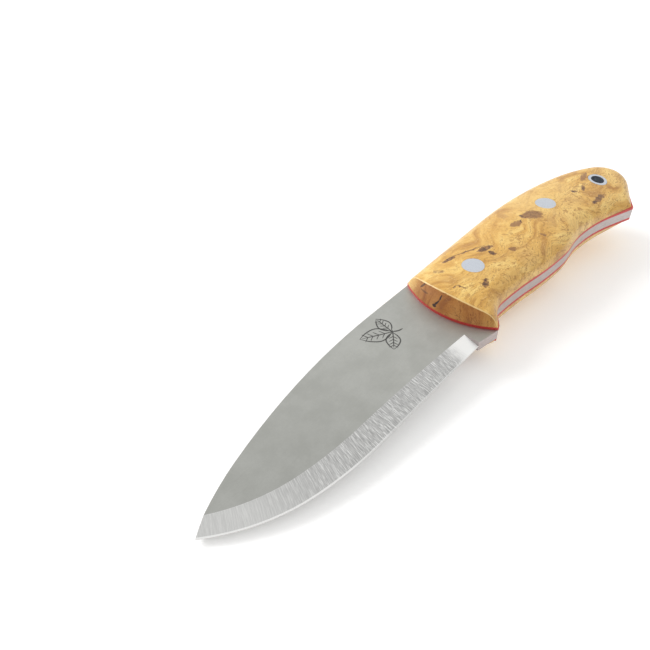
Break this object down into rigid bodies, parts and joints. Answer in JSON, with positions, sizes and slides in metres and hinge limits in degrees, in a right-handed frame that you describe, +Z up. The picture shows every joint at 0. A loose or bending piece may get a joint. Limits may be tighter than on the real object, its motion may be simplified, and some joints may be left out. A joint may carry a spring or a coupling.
{
  "type": "whittling knife",
  "caption": "Full-tang fixed-blade whittling knife with a drop-point blade, crowned burl scales on red liners, flush two-part bolts and a lanyard tube.",
  "frame": {"origin": "centre of the knife's outline, on the surface it lies on", "axes": "+X from the point to the butt, +Y towards the spine, +Z up from the surface; the blade tips down 4.1 degrees so that its point rests on the surface"},
  "size_m": [0.2161, 0.0414, 0.0254],
  "materials": {
    "blade_steel": "satin flats, cross-ground bevels",
    "liner_fibre": "matt",
    "burl_wood": "oiled satin",
    "bolt_steel": "satin"
  },
  "bodies": {
    "root": {"blade": "blade_steel", "left_liner": "liner_fibre", "right_liner": "liner_fibre", "left_scale": "burl_wood", "right_scale": "burl_wood", "front_bolt_nut": "bolt_steel", "front_bolt_screw": "bolt_steel", "rear_bolt_nut": "bolt_steel", "rear_bolt_screw": "bolt_steel", "lanyard_tube": "bolt_steel"}
  },
  "joints": []
}
